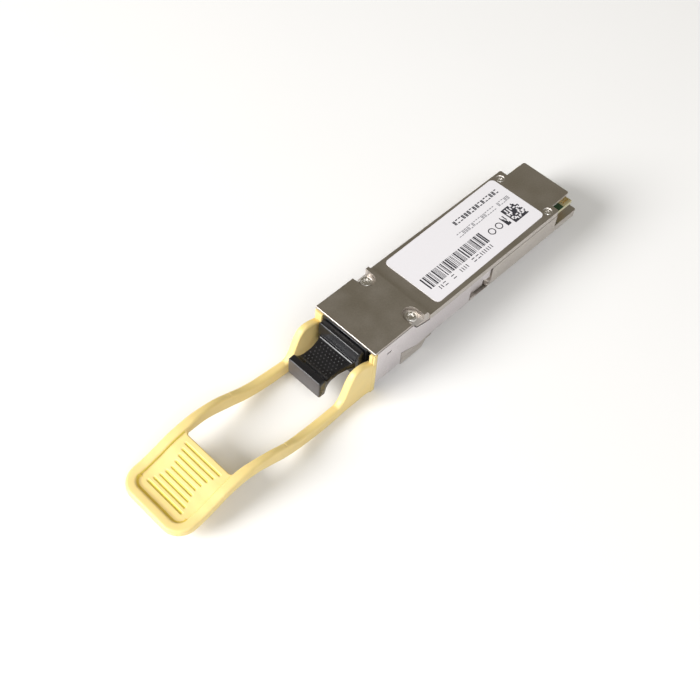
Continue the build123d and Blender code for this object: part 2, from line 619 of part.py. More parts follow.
with BuildPart() as thermal_pads:
    side_blocks(CHIP_X, (CHIP_INNER, CHIP_OUTER), (PEDESTAL_TOP, BOARD_BOTTOM - CHIP_HEIGHT))
finish(thermal_pads, "thermal_pads")

with BuildPart() as microcontroller:
    block((44, 49), (-2.5, 2.5), (BOARD_TOP, BOARD_TOP + CHIP_HEIGHT))
finish(microcontroller, "microcontroller")

with BuildPart() as passives:
    # 0402-size capacitors and resistors in rows on the board's upper face
    for x in (28, 31, 34, 37, 52, 55):
        for row in range(5):
            y = (row - 2) * 2.2
            block((x - 0.5, x + 0.5), (y - 0.25, y + 0.25), (BOARD_TOP, BOARD_TOP + 0.5))
finish(passives, "passives")

# ---------------------------------------------------------------- optical engine
ENGINE_X = 28.6
with BuildPart() as laser_array:
    block((ENGINE_X - 0.15, ENGINE_X + 0.15), (-1.5, -0.5), (BOARD_BOTTOM - 0.15, BOARD_BOTTOM))
finish(laser_array, "laser_array")

with BuildPart() as photodiode_array:
    block((ENGINE_X - 0.15, ENGINE_X + 0.15), (0.5, 1.5), (BOARD_BOTTOM - 0.15, BOARD_BOTTOM))
finish(photodiode_array, "photodiode_array")

with BuildPart() as laser_driver:
    block((29.1, 31.3), (-2.3, -0.2), (BOARD_BOTTOM - 0.3, BOARD_BOTTOM))
finish(laser_driver, "laser_driver")

with BuildPart() as receiver_amplifier:
    block((29.1, 31.3), (0.2, 2.3), (BOARD_BOTTOM - 0.3, BOARD_BOTTOM))
finish(receiver_amplifier, "receiver_amplifier")

with BuildPart() as lens_block:
    # light-turning block: ribbon slot in front, a 45 degree mirror groove, hollow over the dies
    block((25.0, 32.2), (-3.2, 3.2), (-1.2, BOARD_BOTTOM))
    block((27.8, 31.7), (-2.7, 2.7), (BOARD_BOTTOM - 0.7, 2), Mode.SUBTRACT)
    block((24, 26.3), (-1.6, 1.6), (-0.2, 0.2), Mode.SUBTRACT)
    with BuildSketch(Plane.XZ):
        with BuildLine():
            Polyline((28.0, -1.2), (29.2, 0.0), (29.2, -1.2), close=True)
        make_face()
    extrude(amount=2.2, both=True, mode=Mode.SUBTRACT)
finish(lens_block, "lens_block")

with BuildPart() as lens_clip:
    # spring-steel bail that holds the lens block down on the board
    block((26.6, 27.6), (-3.6, 3.6), (-1.4, -1.2))
    side_blocks((26.6, 27.6), (3.4, 3.6), (-1.4, BOARD_BOTTOM))
finish(lens_clip, "lens_clip")

# ---------------------------------------------------------------- shielding
with BuildPart() as rear_gasket:
    block((62.85, 63.75), (-5.9, 5.9), (BOARD_TOP, PARTING))
finish(rear_gasket, "rear_gasket")

with BuildPart() as absorber_sheet:
    block((43, 58), (-6, 6), (CEILING - 0.25, CEILING))
finish(absorber_sheet, "absorber_sheet")

# ---------------------------------------------------------------- dust plug
with BuildPart() as dust_plug:
    # side silhouette: lip, waisted grip, foot and flange
    with BuildSketch(Plane.XZ) as silhouette:
        with BuildLine():
            Polyline((PLUG_TIP, 0), (PLUG_TIP, PLUG_LIP_HALF_HEIGHT), (-10.4, PLUG_LIP_HALF_HEIGHT))
            waist = [(-10.4, PLUG_LIP_HALF_HEIGHT), (-9.2, 1.0), (-6.4, 0.72), (-2.45, 0.9)]
            Spline(*waist, tangents=[(0, -1), (1, 0)])
            Polyline(
                (-2.45, 0.9),
                (-1.7, FLANGE_HALF_HEIGHT - 0.5),
                (-1.5, FLANGE_HALF_HEIGHT),
                (-0.2, FLANGE_HALF_HEIGHT),
                (-0.2, 0),
                (PLUG_TIP, 0),
            )
        make_face()
        mirror(about=Plane.XZ)
    extrude(amount=FLANGE_HALF_WIDTH, both=True)
    # plan outline: the grip is waisted too
    with BuildSketch(Plane.XY.offset(-10)):
        with BuildLine():
            Polyline((PLUG_TIP, 0), (PLUG_TIP, PLUG_HALF_WIDTH), (-10.6, PLUG_HALF_WIDTH))
            Spline((-10.6, PLUG_HALF_WIDTH), (-6.5, 4.2), (-2.6, 4.95), tangents=[(1, 0), (1, 0)])
            Polyline(
                (-2.6, 4.95),
                (-1.75, FLANGE_HALF_WIDTH - 0.4),
                (-1.5, FLANGE_HALF_WIDTH),
                (-0.2, FLANGE_HALF_WIDTH),
                (-0.2, 0),
                (PLUG_TIP, 0),
            )
        make_face()
        mirror(about=Plane.XZ)
    extrude(amount=20, mode=Mode.INTERSECT)
    # hollow nose that goes into the port, clear of the ferrule and its pins
    block((-0.2, 6.5), (-3.95, 3.95), (-3.5, 3.5))
    block((1.5, 7), (-3.6, 3.6), (-2.6, 2.6), Mode.SUBTRACT)
finish(dust_plug, "dust_plug")
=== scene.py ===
"""Looks for the pluggable optical transceiver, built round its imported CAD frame.

Lengths are millimetres until the last step of each mesh, where MM turns them into metres. Only the
lights are given in metres. X runs from the optical port to the card edge, Y across, and +Z out of the
labelled face.
"""

import json
import math
import random

import bmesh
import bpy
import numpy as np
from mathutils import Matrix, Vector


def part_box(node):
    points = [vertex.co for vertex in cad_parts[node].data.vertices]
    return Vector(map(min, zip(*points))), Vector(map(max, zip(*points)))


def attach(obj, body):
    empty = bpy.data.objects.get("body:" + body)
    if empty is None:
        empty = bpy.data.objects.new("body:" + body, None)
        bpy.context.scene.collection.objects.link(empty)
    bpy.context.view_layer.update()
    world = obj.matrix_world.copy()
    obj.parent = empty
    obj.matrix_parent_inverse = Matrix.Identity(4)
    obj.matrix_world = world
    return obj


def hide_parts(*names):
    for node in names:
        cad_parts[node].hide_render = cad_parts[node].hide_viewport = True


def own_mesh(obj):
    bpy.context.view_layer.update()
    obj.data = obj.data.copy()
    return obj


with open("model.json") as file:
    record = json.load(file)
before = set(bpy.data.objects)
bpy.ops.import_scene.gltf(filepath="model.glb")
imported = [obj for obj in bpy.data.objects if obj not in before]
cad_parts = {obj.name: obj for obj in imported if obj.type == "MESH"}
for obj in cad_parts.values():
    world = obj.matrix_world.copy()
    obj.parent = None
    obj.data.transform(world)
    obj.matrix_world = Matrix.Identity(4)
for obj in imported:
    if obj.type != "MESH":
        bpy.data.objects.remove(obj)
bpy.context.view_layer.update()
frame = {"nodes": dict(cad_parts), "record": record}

MM = 0.001
SEED = 11

# ---------------------------------------------------------------- places read from the frame, in mm


def node_box(node):
    """Lowest and highest corner of a CAD node, in millimetres."""
    low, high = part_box(node)
    return Vector(low) / MM, Vector(high) / MM


LABEL_LOW, LABEL_HIGH = node_box("label")
TAB_LOW, TAB_HIGH = node_box("pull_tab")
PLUG_TIP = node_box("dust_plug")[0].x
SHELL_BOTTOM = node_box("lower_housing")[0].z


# ---------------------------------------------------------------- mesh helpers
def make_object(name, vertices, faces, sharp_degrees=40.0):
    """A smooth-shaded mesh object from points in millimetres."""
    mesh = bpy.data.meshes.new(name)
    mesh.from_pydata([(x * MM, y * MM, z * MM) for x, y, z in vertices], [], faces)
    mesh.validate()
    work = bmesh.new()
    work.from_mesh(mesh)
    bmesh.ops.recalc_face_normals(work, faces=work.faces)
    work.to_mesh(mesh)
    work.free()
    mesh.shade_smooth()
    mesh.set_sharp_from_angle(angle=math.radians(sharp_degrees))
    piece = bpy.data.objects.new(name, mesh)
    bpy.context.scene.collection.objects.link(piece)
    return piece


def dress(piece, body, slot, material, *replaced):
    """Give a piece its material and body, and hide the CAD nodes it stands for; the slot argument is not
    used.
    """
    piece.data.materials.clear()
    piece.data.materials.append(material)
    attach(piece, body)
    if replaced:
        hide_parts(*replaced)
    return piece


def skin(rings, capped=True):
    """Faces over a row of rings with the same number of points each."""
    count = len(rings[0])
    vertices = [point for ring in rings for point in ring]
    faces = []
    for row in range(len(rings) - 1):
        for i in range(count):
            j = (i + 1) % count
            base = row * count
            faces.append((base + i, base + j, base + count + j, base + count + i))
    if capped:
        last = (len(rings) - 1) * count
        faces.append(tuple(reversed(range(count))))
        faces.append(tuple(range(last, last + count)))
    return vertices, faces


def merge(parts):
    """One vertex and face list from several."""
    vertices = []
    faces = []
    for part_vertices, part_faces in parts:
        start = len(vertices)
        vertices.extend(part_vertices)
        faces.extend(tuple(i + start for i in face) for face in part_faces)
    return vertices, faces


def spaced(*runs):
    """Every x of several (start, end, step) runs."""
    return [x for start, end, step in runs for x in np.arange(start, end, step)]


def smooth_curve(points):
    """A function of x through (x, value) points: cubic pieces with slopes that never overshoot."""
    xs = np.array([p[0] for p in points], float)
    ys = np.array([p[1] for p in points], float)
    order = np.argsort(xs)
    xs, ys = xs[order], ys[order]
    step = np.diff(xs)
    rise = np.diff(ys) / step
    slope = np.zeros(len(xs))
    for i in range(1, len(xs) - 1):
        if rise[i - 1] * rise[i] > 0:
            slope[i] = 2 * rise[i - 1] * rise[i] / (rise[i - 1] + rise[i])

    def value(x):
        x = min(max(x, xs[0]), xs[-1])
        i = min(int(np.searchsorted(xs, x, side="right")) - 1, len(xs) - 2)
        t = (x - xs[i]) / step[i]
        a = (1 + 2 * t) * (1 - t) ** 2 * ys[i] + t * t * (3 - 2 * t) * ys[i + 1]
        b = t * (1 - t) ** 2 * slope[i] + t * t * (t - 1) * slope[i + 1]
        return float(a + b * step[i])

    return value


def rounded_section(half_width, low, high, radius, steps=5):
    """Outline of a rounded rectangle as (across, up) points."""
    radius = min(radius, half_width * 0.98, (high - low) * 0.49)
    corners = (
        (half_width - radius, high - radius, 0),
        (-half_width + radius, high - radius, 90),
        (-half_width + radius, low + radius, 180),
        (half_width - radius, low + radius, 270),
    )
    outline = []
    for across, up, start in corners:
        for k in range(steps + 1):
            angle = math.radians(start + 90 * k / steps)
            outline.append((across + radius * math.cos(angle), up + radius * math.sin(angle)))
    return outline


def slab(x, y, z, bevel=0.0):
    """A box between two bounds on each axis, with bevelled edges."""
    work = bmesh.new()
    bmesh.ops.create_cube(work, size=1.0)
    for v in work.verts:
        v.co = [low + (c + 0.5) * (high - low) for c, (low, high) in zip(v.co, (x, y, z))]
    if bevel:
        bmesh.ops.bevel(work, geom=work.edges[:], offset=bevel, segments=3, profile=0.5, affect="EDGES")
    work.verts.ensure_lookup_table()
    vertices = [tuple(v.co) for v in work.verts]
    faces = [tuple(v.index for v in f.verts) for f in work.faces]
    work.free()
    return vertices, faces


# ---------------------------------------------------------------- material helpers
NOISE_LOW, NOISE_HIGH = 0.3, 0.7  # nearly all of a noise texture lies between these
MASK_END = 67.6
MASK_GREEN = (0.014, 0.055, 0.02)
BARE_LAMINATE = (0.42, 0.36, 0.19)
CUT_LAMINATE = (0.55, 0.52, 0.33)
MIX_A, MIX_B, MIX_RESULT = 6, 7, 2  # the colour sockets of a Mix node


class Shader:
    """A principled material with short ways to add noise to it."""

    def __init__(self, name, colour, roughness, metallic=0.0, coat=0.0, specular=0.5):
        self.material = bpy.data.materials.new(name)
        self.material.use_nodes = True
        self.nodes = self.material.node_tree.nodes
        self.links = self.material.node_tree.links
        self.body = self.nodes["Principled BSDF"]
        self.colour = colour
        self.body.inputs["Base Color"].default_value = (*colour, 1)
        self.body.inputs["Roughness"].default_value = roughness
        self.body.inputs["Metallic"].default_value = metallic
        self.body.inputs["Coat Weight"].default_value = coat
        self.body.inputs["Specular IOR Level"].default_value = specular
        self.place = self.nodes.new("ShaderNodeTexCoord").outputs["Object"]
        self.height = None

    def noise(self, size, detail=3.0, stretch=(1, 1, 1)):
        """Noise whose grains are about size mm, longer along the axes with a stretch over 1."""
        scale = self.nodes.new("ShaderNodeMapping")
        scale.inputs["Scale"].default_value = tuple(1 / (size * MM * s) for s in stretch)
        self.links.new(self.place, scale.inputs["Vector"])
        texture = self.nodes.new("ShaderNodeTexNoise")
        texture.inputs["Scale"].default_value = 1.0
        texture.inputs["Detail"].default_value = detail
        self.links.new(scale.outputs["Vector"], texture.inputs["Vector"])
        return texture.outputs["Fac"]

    def ramp(self, source, low, high, start=NOISE_LOW, end=NOISE_HIGH):
        """Colours from low to high as source rises from start to end."""
        ramp = self.nodes.new("ShaderNodeValToRGB")
        first, last = ramp.color_ramp.elements
        first.position, first.color = start, (*low, 1)
        last.position, last.color = end, (*high, 1)
        self.links.new(source, ramp.inputs["Fac"])
        return ramp.outputs["Color"]

    def vary_colour(self, source, amount):
        """Base colour a little darker and lighter with source."""
        low = tuple(max(c * (1 - amount), 0) for c in self.colour)
        high = tuple(min(c * (1 + amount), 1) for c in self.colour)
        self.links.new(self.ramp(source, low, high), self.body.inputs["Base Color"])

    def vary_roughness(self, source, low, high):
        """Roughness from low to high with source."""
        span = self.nodes.new("ShaderNodeMapRange")
        span.inputs["From Min"].default_value = NOISE_LOW
        span.inputs["From Max"].default_value = NOISE_HIGH
        span.inputs["To Min"].default_value = low
        span.inputs["To Max"].default_value = high
        self.links.new(source, span.inputs["Value"])
        self.links.new(span.outputs["Result"], self.body.inputs["Roughness"])

    def bump(self, source, depth, strength=1.0):
        """Bump of about depth mm; several calls add up."""
        bump = self.nodes.new("ShaderNodeBump")
        bump.inputs["Strength"].default_value = strength
        bump.inputs["Distance"].default_value = depth * MM
        self.links.new(source, bump.inputs["Height"])
        if self.height is not None:
            self.links.new(self.height, bump.inputs["Normal"])
        self.height = bump.outputs["Normal"]
        self.links.new(self.height, self.body.inputs["Normal"])


def brushed_metal(name, colour, roughness, grain_along=(1, 12, 1)):
    """Plated or rolled metal: fine brushing, a mottled sheen and a slight tint change."""
    shader = Shader(name, colour, roughness, metallic=1.0)
    brushing = shader.noise(0.16, detail=4, stretch=grain_along)
    mottle = shader.noise(0.35, detail=6)
    cloud = shader.noise(6.0, detail=2)
    shader.vary_colour(mottle, amount=0.06)
    shader.vary_roughness(cloud, roughness - 0.05, roughness + 0.06)
    shader.bump(brushing, depth=0.004, strength=0.35)
    shader.bump(mottle, depth=0.006, strength=0.3)
    return shader.material


def moulded_plastic(name, colour, roughness, grain=0.12, depth=0.006, specular=0.5, glow=0.0):
    """Moulded plastic: spark-eroded grain, cloudy roughness, and light scattered inside if glow is set."""
    shader = Shader(name, colour, roughness, specular=specular)
    fine = shader.noise(grain, detail=3)
    cloud = shader.noise(3.0, detail=2)
    shader.vary_colour(cloud, amount=0.025)
    shader.vary_roughness(cloud, roughness - 0.04, roughness + 0.05)
    shader.bump(fine, depth, strength=0.3)
    if glow:
        shader.body.inputs["Subsurface Weight"].default_value = glow
        shader.body.inputs["Subsurface Radius"].default_value = (0.8, 0.75, 0.25)
        shader.body.inputs["Subsurface Scale"].default_value = 1.2 * MM
    return shader.material


def printed_film(name, colour, roughness):
    """Label film or ink: faint paper tooth under a thin varnish."""
    shader = Shader(name, colour, roughness, coat=0.15)
    tooth = shader.noise(0.2, detail=4)
    shader.vary_colour(tooth, amount=0.012)
    shader.bump(tooth, depth=0.002, strength=0.2)
    return shader.material


def board_laminate(name):
    """Green solder mask on the two faces, bare brown laminate at the card edge, pale cut edges."""
    shader = Shader(name, MASK_GREEN, 0.35, coat=0.4)
    facing = shader.nodes.new("ShaderNodeSeparateXYZ")
    shader.links.new(shader.nodes.new("ShaderNodeNewGeometry").outputs["Normal"], facing.inputs["Vector"])
    upright = shader.nodes.new("ShaderNodeMath")
    upright.operation = "ABSOLUTE"
    shader.links.new(facing.outputs["Z"], upright.inputs[0])
    place = shader.nodes.new("ShaderNodeSeparateXYZ")
    shader.links.new(shader.place, place.inputs["Vector"])
    masked = shader.nodes.new("ShaderNodeMath")
    masked.operation = "LESS_THAN"
    masked.inputs[1].default_value = MASK_END * MM
    shader.links.new(place.outputs["X"], masked.inputs[0])
    faces = shader.nodes.new("ShaderNodeMix")
    faces.data_type = "RGBA"
    shader.links.new(upright.outputs["Value"], faces.inputs["Factor"])
    faces.inputs[MIX_A].default_value = (*CUT_LAMINATE, 1)
    flat_colour = shader.ramp(masked.outputs["Value"], BARE_LAMINATE, MASK_GREEN, start=0.4, end=0.5)
    shader.links.new(flat_colour, faces.inputs[MIX_B])
    shader.links.new(faces.outputs[MIX_RESULT], shader.body.inputs["Base Color"])
    weave = shader.noise(0.25, detail=2, stretch=(3, 1, 1))
    shader.vary_roughness(weave, 0.28, 0.42)
    shader.bump(weave, depth=0.004, strength=0.25)
    return shader.material


MATERIALS = {
    "shell_metal": brushed_metal("plated_shell", (0.60, 0.56, 0.52), 0.40),
    "slider_steel": brushed_metal("stamped_steel", (0.74, 0.70, 0.71), 0.32, (12, 1, 1)),
    "screw_steel": brushed_metal("screw_metal", (0.78, 0.76, 0.73), 0.30, (1, 1, 1)),
    "label_film": printed_film("label_white", (0.83, 0.815, 0.85), 0.42),
    "tab_plastic": moulded_plastic("tab_yellow", (0.84, 0.655, 0.27), 0.45, glow=0.15),
    "plug_plastic": moulded_plastic("plug_black", (0.009, 0.009, 0.011), 0.28, specular=0.55),
    "port_plastic": moulded_plastic("port_black", (0.014, 0.014, 0.016), 0.32),
    "ferrule_plastic": moulded_plastic("ferrule_dark", (0.05, 0.045, 0.04), 0.30, grain=0.05, depth=0.003),
    "pin_steel": brushed_metal("pin_metal", (0.80, 0.80, 0.81), 0.15, (6, 1, 1)),
    "fiber_coating": moulded_plastic("ribbon_aqua", (0.10, 0.55, 0.52), 0.30),
    "board_laminate": board_laminate("board_green"),
    "contact_gold": brushed_metal("plated_gold", (0.92, 0.66, 0.27), 0.24, (5, 1, 1)),
    "chip_black": moulded_plastic("chip_package", (0.03, 0.03, 0.033), 0.5, grain=0.06),
    "die_grey": moulded_plastic("bare_die", (0.16, 0.16, 0.22), 0.15, grain=0.05, depth=0.001),
    "lens_plastic": moulded_plastic("lens_amber", (0.62, 0.30, 0.05), 0.18, glow=0.4),
    "clip_steel": brushed_metal("clip_metal", (0.70, 0.69, 0.68), 0.28, (1, 8, 1)),
    "gasket_foam": moulded_plastic("gasket_grey", (0.18, 0.18, 0.19), 0.7, grain=0.25, depth=0.02),
    "absorber_rubber": moulded_plastic("absorber_dark", (0.05, 0.05, 0.05), 0.8, grain=0.2, depth=0.01),
    "thermal_rubber": moulded_plastic("thermal_blue", (0.30, 0.42, 0.58), 0.75, grain=0.2, depth=0.01),
    "passive_ceramic": moulded_plastic("ceramic_tan", (0.42, 0.28, 0.15), 0.35, grain=0.08),
    "spring_steel": brushed_metal("spring_wire", (0.72, 0.71, 0.70), 0.22, (1, 1, 1)),
}
INK_BLACK = printed_film("ink_black", (0.035, 0.035, 0.045), 0.5)
INK_GREY = printed_film("ink_grey", (0.20, 0.20, 0.22), 0.5)
# painted highlight: the grip dots are a lighter black that stands in for the glints on their domes
DOT_GLINT_PAINT_BLACK = moulded_plastic("plug_black_dot_glint_paint", (0.05, 0.05, 0.053), 0.35)
# painted reflection: the lip's flat front face is a lighter grey that stands in for the pale surroundings
# it reflects
LIP_REFLECTION_PAINT_BLACK = moulded_plastic("plug_black_lip_reflection_paint", (0.075, 0.068, 0.07), 0.42)
# painted shade: deeper, more saturated yellows that stand in for the darkening light gives the pad's
# grooves, the rim's inner walls and, darkest, the cove at the tip
TAB_HOLLOW_SHADE_PAINT = moulded_plastic("tab_yellow_hollow_shade_paint", (0.76, 0.64, 0.13), 0.5, glow=0.15)
TAB_TIP_COVE_SHADE_PAINT = moulded_plastic("tab_yellow_tip_cove_shade_paint", (0.74, 0.54, 0.08), 0.5, glow=0.15)


EDGE_ROUNDS = {
    "top_cover": 0.10, "lower_housing": 0.10, "release_slider": 0.06, "main_board": 0.04,
    "mpo_receptacle": 0.12,
}
ROUNDED_ABOVE = math.radians(35)
WELD_GAP = 0.001
FLAT_FACE_WEIGHT = 80


def dress_cad_nodes():
    """Each CAD node takes its slot's material; the pieces in EDGE_ROUNDS get their hard edges rounded."""
    slots = {part["node"]: part["material_slot"] for part in frame["record"]["subparts"]}
    for name, node in frame["nodes"].items():
        node.data.materials.clear()
        node.data.materials.append(MATERIALS[slots[name]])
        if name in EDGE_ROUNDS:
            weld = node.modifiers.new("weld", "WELD")
            weld.merge_threshold = WELD_GAP * MM
            bevel = node.modifiers.new("edge_round", "BEVEL")
            bevel.width = EDGE_ROUNDS[name] * MM
            bevel.segments = 2
            bevel.limit_method = "ANGLE"
            bevel.angle_limit = ROUNDED_ABOVE
            bevel.use_clamp_overlap = True
            normals = node.modifiers.new("normals", "WEIGHTED_NORMAL")
            normals.keep_sharp = False
            normals.weight = FLAT_FACE_WEIGHT


# ---------------------------------------------------------------- pull tab
ARM_OUTER = 9.1
STRAP_OUTER = -TAB_LOW.y
TAB_TIP = TAB_LOW.x
ARM_FRONT = -0.15
TIP_RADIUS = 4.5
TIP_CENTRE_X = TAB_TIP + TIP_RADIUS
TIP_STEPS = 16
FRONT_STEPS = 8
SECTION_ROUND = 0.62
SECTION_HEIGHT = 10
SEAM_X = -25.7
SEAM_WIDTH = 0.14
SEAM_DEPTH = 0.14

# the thumb pad: its floor tucks under the rims, and its rear edge curls back at an ear on each side
PAD_RIM = 2.3
PAD_FRONT = TAB_TIP + PAD_RIM
PAD_REAR = -38.9
PAD_HALF_WIDTH = STRAP_OUTER - PAD_RIM
PAD_TUCK = 0.4
PAD_COLUMNS = 181
PAD_ROWS = 73
PAD_EDGE_TOP_ROUND = 0.45
PAD_EDGE_BOTTOM_ROUND = 0.3
EAR_START = 6.2
EAR_REACH = 1.2
EAR_CURVE = 0.8
FLOOR_SINK = 0.8
FLOOR_ABOVE_BOTTOM = 0.25

# cross grooves, the middle one the shortest, and the cove where the floor climbs to the rim at the tip
GROOVE_COUNT = 9
GROOVE_PITCH = 1.27
GROOVE_FIRST = -50.7
GROOVE_HALF_WIDTH = 0.2
GROOVE_DEPTH = 0.38
GROOVE_LENGTH = 7.3
GROOVE_LENGTH_GAIN = 3.2
GROOVE_LENGTH_CURVE = 1.3
GROOVE_END = 0.3
GROOVE_SHOULDER = 1.6
COVE_CORNER = TIP_RADIUS - PAD_RIM
COVE_WIDTH = 1.3
COVE_SIDE_LOSS = 0.4
COVE_RISE = 0.5

# the arms' front ends: lugs under the nose lip, wraps round the slider's front edge, outer cheeks
LUG_X = (-0.4, 0.9)
LUG_Z = (0.65, TAB_HIGH.z)
LUG_OUTER = 8.64
LUG_INNER_NEAR = 7.75
LUG_INNER_FAR = 6.75
LUG_BEVEL = 0.15
WRAP_X = (-0.1, 0.9)
WRAP_Y = (8.5, 9.05)
WRAP_Z = (0.02, TAB_HIGH.z)
CHEEK_X = (-0.4, 0.88)
CHEEK_Y = (8.66, ARM_OUTER)
CHEEK_Z = (TAB_LOW.z + 0.03, 1.5)
WRAP_BEVEL = 0.12

tab_top = smooth_curve([
    (-0.1, 2.2), (-1.2, 2.72), (-2.5, 3.22), (-4.0, 3.45), (-5.2, 3.2), (-6.2, 2.3), (-7.0, 0.85),
    (-7.7, -0.85), (-8.3, -2.45), (-9.2, -3.8), (-10.5, -4.55),
    (-14, -4.45), (-18, -4.1), (-22, -3.2), (-26, -1.65), (-30, -0.2), (-34, 0.5), (-36, 0.62),
    (-38, 0.5), (-42, -0.2), (-46, -1.5), (-50, -2.5), (TAB_TIP, -2.9),
])
tab_bottom = smooth_curve([
    (-0.1, -8.0), (-8, -8.0), (-14, -7.8), (-18, -7.35), (-22, -6.8), (-26, -5.8), (-30, -4.1),
    (-34, -2.6), (-38, -2.05), (-42, -2.6), (-46, -3.9), (-50, -4.85), (TAB_TIP, -5.0),
])
arm_inner = smooth_curve([
    (-0.1, 7.1), (-10, 7.1), (-18, 7.25), (-22, 7.5), (-26, 7.85), (-30, 7.75), (-34, 7.45),
    (-38, PAD_HALF_WIDTH), (TAB_TIP, PAD_HALF_WIDTH),
])
arm_outer = smooth_curve([
    (-0.1, ARM_OUTER - 0.05), (-2, 8.9), (-8, 8.9), (-12, ARM_OUTER), (-18, 9.3), (-32, STRAP_OUTER),
    (TAB_TIP, STRAP_OUTER),
])


def tab_stations():
    """Half of the strap's route in plan: (x, y, outward x, outward y, half width) from arm to pad tip.

    Stations stand closer at the shoulder and at the seam.
    """
    stations = []
    for x in spaced(
        (ARM_FRONT, -5.0, -0.6), (-5.0, -11.0, -0.12), (-11.0, -25.3, -0.5), (-25.3, -26.1, -0.08),
        (-26.1, TIP_CENTRE_X, -0.5),
    ):
        inner, outer = arm_inner(x), arm_outer(x)
        stations.append((x, (inner + outer) / 2, 0, 1, (outer - inner) / 2))
    corner_y = STRAP_OUTER - TIP_RADIUS
    half_rim = PAD_RIM / 2
    middle = TIP_RADIUS - half_rim
    for k in range(TIP_STEPS + 1):
        angle = math.radians(90 + 90 * k / TIP_STEPS)
        out_x, out_y = math.cos(angle), math.sin(angle)
        stations.append((TIP_CENTRE_X + middle * out_x, corner_y + middle * out_y, out_x, out_y, half_rim))
    for k in range(1, FRONT_STEPS + 1):
        stations.append((TAB_TIP + half_rim, corner_y * (1 - k / FRONT_STEPS), -1, 0, half_rim))
    return stations


def seam_dip(x):
    """The small moulding notch across each arm."""
    return SEAM_DEPTH * math.exp(-(((x - SEAM_X) / SEAM_WIDTH) ** 2))


def build_strap():
    """Arms, waist and pad rim as one rounded bar swept round the finger loop."""
    half = tab_stations()
    rings = []
    for side, route in ((1, half), (-1, list(reversed(half))[1:])):
        for x, y, out_x, out_y, half_width in route:
            ring = []
            for across, up in rounded_section(half_width, 0, SECTION_HEIGHT, SECTION_ROUND):
                px = x + out_x * across
                py = y + out_y * across
                low = tab_bottom(px)
                high = tab_top(px) - seam_dip(px)
                # the section is drawn taller than the strap: this takes the rest from its straight sides
                pz = low + up if up < SECTION_HEIGHT / 2 else high - (SECTION_HEIGHT - up)
                ring.append((px, side * py, pz))
            rings.append(ring)
    return skin(rings)


def groove_depth(x, y):
    """How deep the nearest cross groove cuts at a point of the pad."""
    deepest = 0.0
    middle = (GROOVE_COUNT - 1) / 2
    for k in range(GROOVE_COUNT):
        gap = abs(x - GROOVE_FIRST - k * GROOVE_PITCH)
        gain = GROOVE_LENGTH_GAIN * (abs(k - middle) / middle) ** GROOVE_LENGTH_CURVE
        past = abs(y) - (GROOVE_LENGTH + gain) / 2
        if gap < 2 * GROOVE_HALF_WIDTH and past < GROOVE_END:
            across = min(1.0, max(0.0, GROOVE_SHOULDER - gap / GROOVE_HALF_WIDTH))
            along = min(1.0, max(0.0, 0.5 - past / GROOVE_END))
            deepest = max(deepest, GROOVE_DEPTH * across * along)
    return deepest


def rim_rise(x, y):
    """How far the pad floor climbs towards the rim: a wide cove at the tip, none at the sides."""
    from_tip = x - PAD_FRONT
    from_side = PAD_HALF_WIDTH - abs(y)
    if from_side < COVE_CORNER and from_tip < COVE_CORNER:
        reach = COVE_CORNER - math.hypot(COVE_CORNER - from_side, COVE_CORNER - from_tip)
    else:
        reach = from_tip
    turn = min(1.0, max(0.0, (COVE_CORNER - from_side) / COVE_CORNER))
    width = COVE_WIDTH * (1 - COVE_SIDE_LOSS * turn)
    if reach >= width:
        return 0.0
    share = min(1.0, 1 - reach / width)
    return COVE_RISE * (1 - math.sqrt(max(0.0, 1 - share * share)))


def edge_fall(gap, radius):
    """How far a rounded edge has fallen away at a gap from its end."""
    if gap >= radius:
        return 0.0
    return radius - math.sqrt(max(0.0, radius ** 2 - (radius - gap) ** 2))


def build_pad_floor():
    """The thumb rest between the rims: a thin waved plate with cross grooves."""
    front = PAD_FRONT - PAD_TUCK
    half_y = PAD_HALF_WIDTH + PAD_TUCK
    rows = PAD_ROWS
    width = PAD_COLUMNS
    top = []
    bottom = []
    for j in range(rows):
        y = half_y * (2 * j / (rows - 1) - 1)
        ear = max(0.0, abs(y) - EAR_START)
        rear = PAD_REAR + EAR_CURVE * min(ear, EAR_REACH) ** 2
        for i in range(width):
            share = i / (width - 1)
            x = front + (rear - front) * share
            sink = FLOOR_SINK - rim_rise(x, y) + groove_depth(x, y)
            high = tab_top(x) - sink - edge_fall(rear - x, PAD_EDGE_TOP_ROUND)
            low = tab_bottom(x) + FLOOR_ABOVE_BOTTOM + edge_fall(rear - x, PAD_EDGE_BOTTOM_ROUND)
            top.append((x, y, high))
            bottom.append((x, y, low))
    vertices = top + bottom
    under = rows * width
    faces = []
    for j in range(rows - 1):
        for i in range(width - 1):
            a = j * width + i
            faces.append((a, a + 1, a + width + 1, a + width))
            faces.append((under + a, under + a + width, under + a + width + 1, under + a + 1))
    for i in range(width - 1):
        faces.append((i, under + i, under + i + 1, i + 1))
        a = (rows - 1) * width + i
        faces.append((a, a + 1, under + a + 1, under + a))
    for j in range(rows - 1):
        a = j * width
        faces.append((a, a + width, under + a + width, under + a))
        b = a + width - 1
        faces.append((b, under + b, under + b + width, b + width))
    return vertices, faces


# slots 1 and 2 carry painted shade: the darker yellows of the grooves and rim walls, and of the cove at
# the tip
PLAIN, HOLLOW_SHADE_SLOT, TIP_COVE_SHADE_SLOT = 0, 1, 2  # material slots of the strap and of the pad floor


def paint_hollow_shade(piece, slot_at):
    """Add the two painted-shade yellows, and give each face the slot that slot_at(middle in mm, normal)
    says.
    """
    piece.data.materials.append(TAB_HOLLOW_SHADE_PAINT)
    piece.data.materials.append(TAB_TIP_COVE_SHADE_PAINT)
    for face in piece.data.polygons:
        face.material_index = slot_at(face.center / MM, face.normal)


